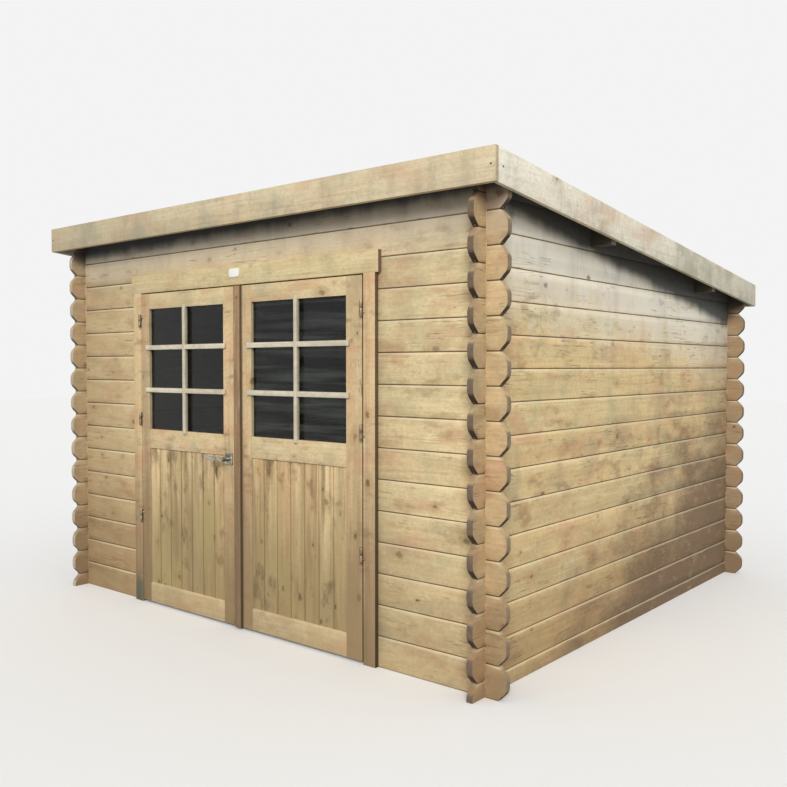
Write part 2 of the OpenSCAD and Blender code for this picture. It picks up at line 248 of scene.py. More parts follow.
def start_round(name: str, place: Point, drive: Drive, radius: float, depth: float, sides: int) -> Object:
    """Adds a short round block, as the start of a nail or screw head.

    Args:
        name: the piece's name.
        place: its middle.
        drive: the axis that it is driven along.
        radius: its radius.
        depth: its length along that axis.
        sides: faces round it.

    Returns:
        The block, with its place in its mesh.
    """
    bpy.ops.object.select_all(action="DESELECT")
    bpy.ops.mesh.primitive_cylinder_add(vertices=sides, radius=radius, depth=depth,
                                        location=place, rotation=drive.value)
    bpy.ops.object.transform_apply(location=True, rotation=True, scale=True)
    return named(name)


def copied(node: str, name: str) -> Object:
    """Copies a CAD node and merges its loose triangles into whole faces.

    Args:
        node: the CAD node.
        name: the copy's name.

    Returns:
        The copy, free to be shaped.
    """
    only(frame["nodes"][node])
    bpy.ops.object.duplicate()
    piece = named(name)
    piece.parent = None
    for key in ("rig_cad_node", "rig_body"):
        del piece[key]
    bpy.ops.mesh.customdata_custom_splitnormals_clear()
    with editing(piece):
        bpy.ops.mesh.select_all(action="SELECT")
        bpy.ops.mesh.remove_doubles(threshold=MERGE)
        bpy.ops.mesh.dissolve_limited(angle_limit=math.radians(COPLANAR))
    return piece


def ease(piece: Object, width: float, segments: int = 2, angle: float = 28.0) -> None:
    """Rounds the sharp edges of a piece.

    Args:
        piece: the piece.
        width: how far the rounding reaches from an edge.
        segments: faces across the rounding.
        angle: the least bend of an edge that is rounded, in degrees.
    """
    with editing(piece):
        bpy.ops.mesh.select_mode(type="EDGE")
        bpy.ops.mesh.edges_select_sharp(sharpness=math.radians(angle))
        bevel(width, segments)
    smooth(piece)


def smooth(piece: Object, angle: float = 35.0) -> None:
    """Shades a piece smooth, except over edges sharper than the angle."""
    only(piece)
    bpy.ops.object.shade_smooth_by_angle(angle=math.radians(angle))


def joined(name: str, *parts: Object) -> Object:
    """Joins pieces into the last of them.

    Args:
        name: the name of the whole.
        parts: the pieces.

    Returns:
        The whole.
    """
    only(*parts)
    bpy.ops.object.join()
    return named(name)


def repeated(piece: Object, pitch: float, count: int) -> Object:
    """Copies a piece in a row along X and joins the row.

    Args:
        piece: the piece, modelled once.
        pitch: the way from one copy to the next.
        count: how many there are in all.

    Returns:
        The joined piece.
    """
    every = []
    for index in range(1, count):
        only(piece)
        bpy.ops.object.duplicate()
        bpy.ops.transform.translate(value=(pitch * index, 0.0, 0.0))
        every.append(bpy.context.view_layer.objects.active)
    only(*every, piece)
    bpy.ops.object.transform_apply(location=True, rotation=True, scale=True)
    return joined(piece.name, *every, piece)


def number_planks(piece: Object, seed: int) -> None:
    """Gives every loose plank of a piece its own number from 0 to 1, for its figure and tone.

    Args:
        piece: the piece.
        seed: start of the random numbers.
    """
    draw = random.Random(seed)
    mesh = bmesh.new()
    mesh.from_mesh(piece.data)
    layer = mesh.verts.layers.float.new("plank")
    seen: set[bmesh.types.BMVert] = set()
    for first in mesh.verts:
        if first in seen:
            continue
        number, waiting = draw.random(), [first]
        while waiting:
            vert = waiting.pop()
            if vert not in seen:
                seen.add(vert)
                vert[layer] = number
                waiting += [edge.other_vert(vert) for edge in vert.link_edges]
    mesh.to_mesh(piece.data)
    mesh.free()


def settle(piece: Object, body: str, slot: str, finish: Material, *nodes: str) -> None:
    """Finishes a piece: its material, the body it rides on and the nodes it stands for.

    Args:
        piece: the piece.
        body: the CAD body that carries it.
        slot: the record's material slot; not used.
        finish: the piece's material.
        nodes: CAD nodes that it replaces.
    """
    piece.data.materials.clear()
    piece.data.materials.append(finish)
    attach(piece, body)
    if nodes:
        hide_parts(*nodes)
    LOG.info("%s: %d faces on %s", piece.name, len(piece.data.polygons), body)


def stand_in(node: str, name: str, body: str, slot: str, finish: Material, edge: float, segments: int = 2,
             seed: int | None = None, shape: Callable[[Object], None] | None = None) -> None:
    """Puts an eased copy of a CAD node in the node's place.

    Args:
        node: the CAD node.
        name: the copy's name.
        body: the CAD body that carries it.
        slot: the record's material slot.
        finish: the copy's material.
        edge: width of the eased edges.
        segments: faces across an eased edge.
        seed: start of its planks' numbers, where it has planks.
        shape: what is done to the copy before its edges are eased.
    """
    piece = copied(node, name)
    if shape:
        shape(piece)
    ease(piece, edge, segments)
    if seed is not None:
        number_planks(piece, seed)
    settle(piece, body, slot, finish, node)


# Finishes


class NodeSheet:
    """Adds and links the nodes of one material."""

    def __init__(self, name: str) -> None:
        """Starts a material with one Principled shader and the place on the object.

        Args:
            name: the material's name.
        """
        self.material = bpy.data.materials.new(name)
        self.material.use_nodes = True
        self.tree = self.material.node_tree
        self.tree.nodes.clear()
        output = self.tree.nodes.new("ShaderNodeOutputMaterial")
        self.shader = self.tree.nodes.new("ShaderNodeBsdfPrincipled")
        self.tree.links.new(self.shader.outputs[0], output.inputs[0])
        source = self.tree.nodes.new("ShaderNodeTexCoord")
        self.place, self.tilt = source.outputs["Object"], source.outputs["Normal"]

    def feed(self, socket: NodeSocket, value: Value) -> None:
        """Links a socket to an output, or sets its value.

        Args:
            socket: the input.
            value: an output, a plain value or a colour as #rrggbb.
        """
        if isinstance(value, NodeSocket):
            self.tree.links.new(value, socket)
        else:
            socket.default_value = tint(value) if isinstance(value, str) else value

    def add(self, kind: str, inputs: Mapping[int | str, Value], out: int | str = 0,
            **settings: object) -> NodeSocket:
        """Adds one node and feeds it.

        Args:
            kind: the node's type, without the word ShaderNode.
            inputs: what goes into each input, by its number or name.
            out: number or name of the output that is wanted.
            settings: properties to set on the node.

        Returns:
            That output.
        """
        made = self.tree.nodes.new(f"ShaderNode{kind}")
        for key, value in settings.items():
            setattr(made, key, value)
        for key, value in inputs.items():
            self.feed(made.inputs[key], value)
        return made.outputs[out]

    def math(self, operation: str, *values: Value) -> NodeSocket:
        """Adds a Math node and returns its result."""
        return self.add("Math", dict(enumerate(values)), operation=operation)

    def times(self, first: Value, second: Value) -> NodeSocket:
        """Multiplies two values and returns the result."""
        return self.math("MULTIPLY", first, second)

    def minus(self, first: Value, second: Value) -> NodeSocket:
        """Takes one value from another and returns the result."""
        return self.math("SUBTRACT", first, second)

    def scaled(self, value: Value, by: Value, plus: Value) -> NodeSocket:
        """Multiplies a value, adds another one and returns the result."""
        return self.math("MULTIPLY_ADD", value, by, plus)

    def join(self, *numbers: Value) -> NodeSocket:
        """Joins three numbers into a vector."""
        return self.add("CombineXYZ", dict(enumerate(numbers)))

    def split(self, vector: Value) -> Sockets:
        """Splits a vector into its three numbers."""
        return tuple(self.add("SeparateXYZ", {0: vector}).node.outputs)

    def length(self, vector: Value) -> NodeSocket:
        """Returns the length of a vector."""
        return self.add("VectorMath", {0: vector}, "Value", operation="LENGTH")

    def stretch(self, vector: Value, scales: Point) -> NodeSocket:
        """Scales a vector along its axes and returns it."""
        return self.add("VectorMath", {0: vector, 1: scales}, operation="MULTIPLY")

    def noise(self, vector: Value, detail: float = 2.0, roughness: float = 0.5) -> NodeSocket:
        """Adds a Noise texture at a scale of 1 and returns its value."""
        inputs = {"Vector": vector, "Scale": 1.0, "Detail": detail, "Roughness": roughness}
        return self.add("TexNoise", inputs, "Fac")

    def cloud(self, scales: Point, detail: float = 2.0, roughness: float = 0.5) -> NodeSocket:
        """Returns a cloudy pattern that is fixed to the place on the object."""
        return self.noise(self.stretch(self.place, scales), detail, roughness)

    def step(self, value: Value, low: Value, high: Value, top: float = 1.0) -> NodeSocket:
        """Rises softly from 0 at low to top at high; low may be the larger one."""
        inputs = {"Value": value, "From Min": low, "From Max": high, "To Max": top}
        return self.add("MapRange", inputs, interpolation_type="SMOOTHSTEP")

    def mix(self, amount: Value, under: Value, over: Value) -> NodeSocket:
        """Lays one colour over another and returns the result."""
        return self.add("Mix", {0: amount, 6: under, 7: over}, 2, data_type="RGBA")

    def finish(self, colour: Value, roughness: Value, height: NodeSocket, depth: float) -> Material:
        """Links colour, roughness and bump to the shader.

        Args:
            colour: base colour.
            roughness: surface roughness.
            height: bump height from 0 to 1.
            depth: how deep the bump is, in metres.

        Returns:
            The finished material.
        """
        bump = self.add("Bump", {"Strength": 0.6, "Distance": depth, "Height": height})
        for key, value in (("Base Color", colour), ("Roughness", roughness), ("Normal", bump)):
            self.feed(self.shader.inputs[key], value)
        return self.material


class WoodSheet(NodeSheet):
    """The nodes of one wood finish, with the sockets that its layers share."""

    def __init__(self, name: str, run: Run) -> None:
        """Reads the place on the piece and turns it to the grain, anew for each plank.

        Args:
            name: the material's name.
            run: the way the grain runs.
        """
        super().__init__(name)
        self.at, self.turned = self.split(self.place), self.split(self.tilt)
        self.plank = self.add("Attribute", {}, "Fac", attribute_name="plank")
        self.grain = [self.scaled(self.plank, by, self.at[axis]) for axis, by in zip(run.value, PLANK_SHIFTS)]
        self.end = self.step(self.math("ABSOLUTE", self.turned[run.value[0]]), 0.3, 0.55)
        roof = self.scaled(self.at[1], -ROOF_FALL, ROOF_UNDER_Z + FRONT_Y * ROOF_FALL)
        self.below_roof = self.minus(roof, self.at[2])

    def streak(self, scales: Point, detail: float = 2.0, roughness: float = 0.5) -> NodeSocket:
        """Returns a cloudy pattern that runs with the grain of each plank."""
        return self.noise(self.stretch(self.join(*self.grain), scales), detail, roughness)

    def runoff(self, scales: Point, roughness: float) -> NodeSocket:
        """Returns a cloudy pattern that runs round the walls and down from the roof."""
        level = self.join(self.math("ADD", self.at[0], self.at[1]), self.below_roof, 0.0)
        return self.noise(self.stretch(level, scales), 4.0, roughness)


@dataclass(frozen=True)
class WoodLayer:
    """A layer over bare wood, of age for most kinds and of painted shade for some, even unless a kind below
    says where it lies.
    """

    shade: str
    amount: float

    def where(self, s: WoodSheet) -> Value:
        """Returns how much of the layer lies at each place."""
        return self.amount

    def lay(self, s: WoodSheet, colour: NodeSocket) -> NodeSocket:
        """Paints the layer over a colour and returns the new colour."""
        return s.mix(self.where(s), colour, self.shade)


@dataclass(frozen=True)
class JointDirtAndShade(WoodLayer):
    """Joints between courses: a dark line of dirt and painted shade on the upper log's lower edge, and a pale
    painted highlight on the lower log's edge below it.
    """

    shift: float = 0.0
    reach: float = 0.006
    under: float = 0.0015
    # pale colour of the painted highlight on the lower log's upper edge
    edge: str = "#e8dbb8"
    highlight_amount: float = 0.4

    def lay(self, s: WoodSheet, colour: NodeSocket) -> NodeSocket:
        """Paints the joints of a wall whose courses start at the shift.

        Args:
            s: the wood's nodes.
            colour: the colour under the layer.

        Returns:
            The new colour.
        """
        course = s.math("DIVIDE", s.minus(s.at[2], self.shift - self.under), COURSE)
        above = s.times(s.math("FRACT", course), COURSE)
        rough = s.cloud((9.0, 9.0, 30.0))
        # worn is the painted highlight just below each joint; line is the dark joint, dirt with painted shade
        worn = s.step(s.scaled(rough, 0.012, above), COURSE - 0.005, COURSE + 0.001, self.highlight_amount)
        line = s.step(s.scaled(rough, 0.005, above), self.reach + 0.004, self.reach, self.amount)
        return s.mix(line, s.mix(worn, colour, self.edge), self.shade)


@dataclass(frozen=True)
class EaveShadeAndGrime(WoodLayer):
    """Painted shade and black dirt in a band close under the roof, deeper to the left or the rear, with soft
    drips of dirt below it.
    """

    reach: float = 0.11
    full: float = 0.045
    lean: float = 0.0
    grow: float = 0.0
    drip: str = "#968b7b"
    drip_amount: float = 0.35
    drip_reach: float = 0.6

    def lay(self, s: WoodSheet, colour: NodeSocket) -> NodeSocket:
        """Paints the drips and then the band of painted shade and dirt.

        Args:
            s: the wood's nodes.
            colour: the colour under the layer.

        Returns:
            The new colour.
        """
        run = s.runoff((7.0, 1.7, 1.0), 0.6)
        drips = s.times(s.step(run, 0.46, 0.76, self.drip_amount),
                        s.step(s.below_roof, self.drip_reach, 0.05))
        depth = s.scaled(s.minus(s.at[1], FRONT_Y), -self.grow, s.below_roof)
        depth = s.scaled(s.at[0], self.lean, depth)
        ragged = s.scaled(run, -0.06, s.math("ADD", depth, 0.03))
        # The band is painted shade under the eaves, darkened further by dirt.
        shade_band = s.step(ragged, self.reach, self.full, self.amount)
        return s.mix(shade_band, s.mix(drips, colour, self.drip), self.shade)


@dataclass(frozen=True)
class Bleach(WoodLayer):
    """Pale grey wood in broad patches below the eaves, behind the front corner."""

    reach: float = 0.62
    corner: float = -1.343

    def where(self, s: WoodSheet) -> NodeSocket:
        """Finds the patches.

        Args:
            s: the wood's nodes.

        Returns:
            How much of the layer lies at each place.
        """
        patch = s.runoff((7.0, 2.6, 1.0), 0.65)
        level = s.scaled(patch, 0.5, s.minus(s.below_roof, 0.25))
        high = s.times(s.step(level, self.reach, 0.2, self.amount), s.step(patch, 0.15, 0.5))
        return s.times(high, s.math("GREATER_THAN", s.at[1], self.corner))


@dataclass(frozen=True)
class GroundDamp(WoodLayer):
    """Damp, dirty wood near the ground, higher up on the left where it leans."""

    top: float = 0.42
    lean: float = 0.0

    def where(self, s: WoodSheet) -> NodeSocket:
        """Returns how much of the layer lies at each place."""
        level = s.scaled(s.cloud((4.0, 4.0, 2.0), 3.0, 0.6), 0.55, s.minus(s.at[2], 0.27))
        return s.step(s.scaled(s.at[0], self.lean, level), self.top, -0.02, self.amount)


@dataclass(frozen=True)
class RearDamp(WoodLayer):
    """Grey-brown wood low on a side wall, spreading to the rear, with pale chips in it."""

    chip: str = "#a9916f"

    def lay(self, s: WoodSheet, colour: NodeSocket) -> NodeSocket:
        """Paints the damp part and the chips.

        Args:
            s: the wood's nodes.
            colour: the colour under the layer.

        Returns:
            The new colour.
        """
        rear = s.scaled(s.at[1], 0.36, s.times(s.at[2], -0.74))
        patch = s.scaled(s.cloud((2.6, 2.6, 4.6), 5.0, 0.7), 1.3, -0.61)
        damp = s.step(s.math("ADD", rear, patch), -0.52, 0.1, self.amount)
        fleck = s.step(s.cloud((7.0, 7.0, 13.0), 6.0, 0.76), 0.55, 0.64, 0.55)
        return s.mix(s.times(fleck, damp), s.mix(damp, colour, self.shade), self.chip)


@dataclass(frozen=True)
class LowerAge(WoodLayer):
    """Doors that turn from warm wood to grey-green brown towards the ground, in upright streaks."""

    full: float = 0.25
    start: float = 1.05

    def where(self, s: WoodSheet) -> NodeSocket:
        """Returns how much of the layer lies at each place."""
        level = s.scaled(s.cloud((21.0, 21.0, 1.1), 3.0, 0.6), 0.9, s.minus(s.at[2], 0.45))
        return s.step(level, self.start, self.full, self.amount)


@dataclass(frozen=True)
class Blotches(WoodLayer):
    """Soft uneven darkening all over."""

    scales: Point = (3.0, 3.0, 1.6)

    def where(self, s: WoodSheet) -> NodeSocket:
        """Returns how much of the blotches lies at each place."""
        return s.step(s.cloud(self.scales, 4.0, 0.62), 0.46, 0.68, self.amount)


@dataclass(frozen=True)
class Drift(WoodLayer):
    """A slow change of tone along one axis, from its start to where it is full."""

    axis: int = 0
    start: float = 0.0
    full: float = 1.0

    def where(self, s: WoodSheet) -> NodeSocket:
        """Returns how far the change has gone at each place."""
        return s.step(s.at[self.axis], self.start, self.full, self.amount)


@dataclass(frozen=True)
class NoseTone(Drift):
    """The tone of the log ends past a corner, with uneven dirt near the ground."""

    low: float = 0.5
    low_shade: str = "#7c664c"

    def lay(self, s: WoodSheet, colour: NodeSocket) -> NodeSocket:
        """Paints the log ends.

        Args:
            s: the wood's nodes.
            colour: the colour under the layer.

        Returns:
            The new colour.
        """
        past = s.step(s.at[self.axis], self.start, self.full)
        height = s.scaled(s.cloud((7.0, 7.0, 5.0), 3.0, 0.65), 1.2, s.minus(s.at[2], 0.6))
        dirt = s.times(past, s.step(height, 0.9, -0.1, self.low))
        return s.mix(dirt, s.mix(s.times(past, self.amount), colour, self.shade), self.low_shade)


@dataclass(frozen=True)
class Mottle(WoodLayer):
    """Small ragged brown marks of rough grain and dirt, where a coarse and a fine pattern are high."""

    scales: Point = (8.0, 8.0, 19.0)
    share: float = 0.56

    def where(self, s: WoodSheet) -> NodeSocket:
        """Returns how much of the layer lies at each place."""
        fine = s.minus(s.cloud(self.scales, 4.0, 0.6), 0.225)
        return s.step(s.scaled(s.cloud((2.6, 2.6, 3.9), 1.0), 0.45, fine),
                      self.share, self.share + 0.2, self.amount)


@dataclass(frozen=True)
class Checks(WoodLayer):
    """Fine drying cracks along the grain, in some places only."""

    def where(self, s: WoodSheet) -> NodeSocket:
        """Returns how much of the layer lies at each place."""
        near = s.math("ABSOLUTE", s.minus(s.streak((2.2, 64.0, 64.0)), 0.5))
        return s.times(s.step(near, 0.018, 0.006, self.amount),
                       s.step(s.cloud((3.3, 3.3, 6.1), 3.0, 0.65), 0.52, 0.6))


@dataclass(frozen=True)
class EdgeShade(WoodLayer):
    """Painted shade, with some dirt, on faces turned along an axis, such as a board's edge, right of a place
    on X.
    """

    axis: int = 0
    start: float = 0.5
    full: float = 0.8
    beyond: float = -9.0

    def where(self, s: WoodSheet) -> NodeSocket:
        """Returns how far each face is turned."""
        turned = s.step(s.turned[self.axis], self.start, self.full, self.amount)
        return s.times(turned, s.math("GREATER_THAN", s.at[0], self.beyond))


@dataclass(frozen=True)
class Spot(WoodLayer):
    """One stain of the front with a ragged edge, at a place on it."""

    at: tuple[float, float] = (0.0, 0.0)
    size: tuple[float, float] = (0.02, 0.02)

    def where(self, s: WoodSheet) -> NodeSocket:
        """Finds the stain.

        Args:
            s: the wood's nodes.

        Returns:
            How much of the layer lies at each place.
        """
        off = [s.math("DIVIDE", s.minus(s.at[axis], middle), half)
               for axis, middle, half in zip((0, 2), self.at, self.size)]
        far = s.math("ADD", s.length(s.join(*off, 0.0)), s.cloud((60.0, 60.0, 60.0), 3.0, 0.6))
        return s.step(far, 1.6, 0.9, self.amount)


@dataclass(frozen=True)
class WoodFinish:
    """Planed softwood: figure along the grain, knots, end grain with painted shade and light on its slants,
    and layers of age and painted shade.
    """

    name: str
    run: Run
    pale: str
    warm: str
    late: str = "#9a7647"
    knot: str = "#5f4630"
    end: str = "#7c6a58"
    end_dark: str = "#4b3f36"
    # colour of end grain on slants turned down: painted shade
    end_under: str = "#33281f"
    spread: float = 0.05
    scuff: str = "#efe6cf"
    scuffs: float = 0.32
    knots: float = 0.36
    knot_cells: tuple[float, float] = (2.8, 6.3)
    figure: float = 0.08
    wear_and_shade: tuple[WoodLayer, ...] = ()

    def make(self) -> Material:
        """Builds the material's nodes.

        Returns:
            The material.
        """
        s = WoodSheet(self.name, self.run)
        along, across, through = s.grain

        # Knots, one in some cells of a grid on the face
        wide, tall = self.knot_cells
        spot = s.stretch(s.join(along, across, 0.0), (wide, tall, 0.0))
        middle = s.add("TexVoronoi", {"Vector": spot, "Scale": 1.0}, "Position", voronoi_dimensions="2D")
        chance = s.split(middle.node.outputs["Color"])
        off = s.stretch(s.add("VectorMath", {0: spot, 1: middle}, operation="SUBTRACT"),
                        (0.72 / wide, 1.0 / tall, 0.0))
        radius = s.scaled(s.times(chance[0], chance[0]), 0.012, 0.005)
        wobble = s.cloud((70.0, 70.0, 70.0), 2.0, 0.6)
        far = s.scaled(wobble, 0.02, s.minus(s.length(off), 0.01))
        here = s.math("LESS_THAN", chance[1], self.knots)
        halo = s.times(here, s.step(far, s.times(radius, 3.6), radius))
        core = s.times(here, s.step(far, s.times(radius, 1.15), s.times(radius, 0.4)))

        # Rings and fibres, which bend round the knots
        bent = s.minus(across, s.times(s.split(off)[1], s.times(halo, 0.8)))
        flow = s.join(along, bent, through)
        field_lines = s.noise(s.stretch(flow, (0.5, 6.0, 6.0)), 1.5, 0.4)
        rings = s.scaled(s.math("SINE", s.times(field_lines, 85.0)), 0.5, 0.5)
        fibre = s.noise(s.stretch(flow, (4.0, 150.0, 150.0)), 2.0, 0.6)

        # Tone of the bare wood, with scuffs
        broad = s.streak((0.8, 9.0, 9.0), 3.0, 0.55)
        tone = s.math("ADD", s.scaled(broad, 1.3, -0.35), s.times(s.plank, 0.4))
        colour = s.mix(s.step(tone, 0.0, 1.0), self.pale, self.warm)
        colour = s.mix(s.times(rings, self.figure), colour, self.late)
        lot = s.math("FRACT", s.times(s.plank, 7.31))
        light = s.scaled(lot, 2 * self.spread, 1.0 - self.spread)
        speck = s.cloud((52.0, 52.0, 72.0), 4.0, 0.8)
        light = s.math("ADD", light, s.scaled(speck, 0.7, -0.35))
        light = s.math("ADD", light, s.scaled(fibre, 0.3, -0.15))
        colour = s.add("HueSaturation", {"Value": light, "Color": colour})
        colour = s.mix(s.times(halo, 0.3), colour, self.late)
        scuff = s.streak((3.4, 62.0, 62.0), 4.0, 0.7)
        colour = s.mix(s.step(scuff, 0.54, 0.72, self.scuffs), colour, self.late)
        colour = s.mix(s.step(scuff, 0.46, 0.3, self.scuffs), colour, self.scuff)

        # Age and painted shade, and the knots' dark cores over it
        for layer in self.wear_and_shade:
            colour = layer.lay(s, colour)
        colour = s.mix(s.times(core, s.scaled(chance[2], 0.55, 0.25)), colour, self.knot)

        # End grain, with painted shade on a slant turned down and painted light on a slant turned up, where it
        # takes the face's colour
        arcs = s.length(s.join(s.math("ADD", across, 0.02), s.math("ADD", through, 0.06), 0.0))
        growth = s.scaled(s.math("SINE", s.times(arcs, 1500.0)), 0.5, 0.5)
        dirt = s.step(s.cloud((35.0, 35.0, 35.0), 3.0, 0.6), 0.35, 0.75, 0.4)
        end = s.mix(s.scaled(growth, 0.2, dirt), self.end, self.end_dark)
        end = s.mix(s.step(s.turned[2], -0.3, -0.6, 0.85), end, self.end_under)
        end = s.mix(s.step(s.turned[2], 0.3, 0.6, 0.8), end, colour)

        height = s.math("ADD", s.times(fibre, 0.55), s.times(rings, 0.25))
        s.shader.inputs["Specular IOR Level"].default_value = 0.25
        return s.finish(s.mix(s.end, colour, end), s.scaled(fibre, 0.2, 0.66),
                        s.scaled(core, 0.35, height), 0.0012)


@dataclass(frozen=True)
class MetalFinish:
    """Weathered metal with fine scratches and dull patches, and painted shade on faces turned down."""

    name: str
    clean: str
    # colour of faces turned down: painted shade
    dull: str
    painted_shade: str
    roughness: float

    def make(self) -> Material:
        """Builds the material's nodes.

        Returns:
            The material.
        """
        s = NodeSheet(self.name)
        patch = s.cloud((55.0, 55.0, 55.0), 3.0, 0.6)
        colour = s.mix(s.step(patch, 0.35, 0.75), self.clean, self.dull)
        # Faces turned down are darkened: painted shade.
        colour = s.mix(s.step(s.split(s.tilt)[2], 0.1, -0.6, 0.85), colour, self.painted_shade)
        s.shader.inputs["Metallic"].default_value = 1.0
        return s.finish(colour, s.scaled(patch, 0.2, self.roughness - 0.1),
                        s.cloud((60.0, 500.0, 500.0)), 0.0002)


@dataclass(frozen=True)
class GlassFinish:
    """Clear window glass with a thin film, and level streaks on the right leaf: dust that also stands in for
    painted reflections.
    """

    name: str
    clear: str = "#8b918d"
    film: str = "#7d807b"
    dust_and_reflection: float = 0.12

    def make(self) -> Material:
        """Builds the material's nodes.

        Returns:
            The material.
        """
        s = NodeSheet(self.name)
        film = s.cloud((7.0, 7.0, 3.0), 4.0, 0.65)
        colour = s.mix(s.step(film, 0.5, 0.8), self.clear, self.film)
        # Level streaks of dust and painted reflection, on the right leaf only.
        streak = s.step(s.cloud((1.3, 0.0, 27.0), 3.0, 0.6), 0.42, 0.66)
        dust_and_reflection = s.times(streak, s.step(s.split(s.place)[0], -0.1, 0.1, self.dust_and_reflection))
        s.feed(s.shader.inputs["Transmission Weight"], s.minus(1.0, dust_and_reflection))
        s.shader.inputs["IOR"].default_value = 1.3
        s.shader.inputs["Specular IOR Level"].default_value = 0.25
        return s.finish(colour, s.step(film, 0.4, 0.9, 0.12), s.cloud((5.0, 5.0, 5.0), 1.0), 0.0003)


@dataclass(frozen=True)
class FeltFinish:
    """Mineral roofing felt: fine grit with darker worn places and moss."""

    name: str
    dark: str = "#3f4240"
    pale: str = "#6b6e69"
    worn: str = "#37372f"
    moss: str = "#55583f"

    def make(self) -> Material:
        """Builds the material's nodes.

        Returns:
            The material.
        """
        s = NodeSheet(self.name)
        grit = s.cloud((420.0, 420.0, 420.0), 2.0, 0.7)
        colour = s.mix(s.step(grit, 0.35, 0.65), self.dark, self.pale)
        colour = s.mix(s.step(s.cloud((2.4, 1.2, 2.4), 5.0, 0.62), 0.45, 0.75, 0.55), colour, self.worn)
        colour = s.mix(s.step(s.cloud((9.0, 9.0, 9.0), 4.0, 0.7), 0.6, 0.75, 0.4), colour, self.moss)
        return s.finish(colour, s.scaled(grit, 0.15, 0.8), grit, 0.0015)


@dataclass(frozen=True)
class PaintFinish:
    """Plain painted or plastic surface with faint dirt."""

    name: str
    clean: str
    dirty: str

    def make(self) -> Material:
        """Builds the material's nodes.

        Returns:
            The material.
        """
        s = NodeSheet(self.name)
        dirt = s.cloud((40.0, 40.0, 25.0), 4.0, 0.65)
        colour = s.mix(s.step(dirt, 0.5, 0.8, 0.6), self.clean, self.dirty)
        return s.finish(colour, s.scaled(dirt, 0.25, 0.3), s.cloud((400.0, 400.0, 400.0)), 0.0002)


def wood(name: str, run: Run, pale: str, warm: str, *wear_and_shade: WoodLayer, **more: object) -> Material:
    """Makes a wood finish with its layers of age and painted shade and returns the material."""
    return WoodFinish(name, run, pale, warm, wear_and_shade=wear_and_shade, **more).make()


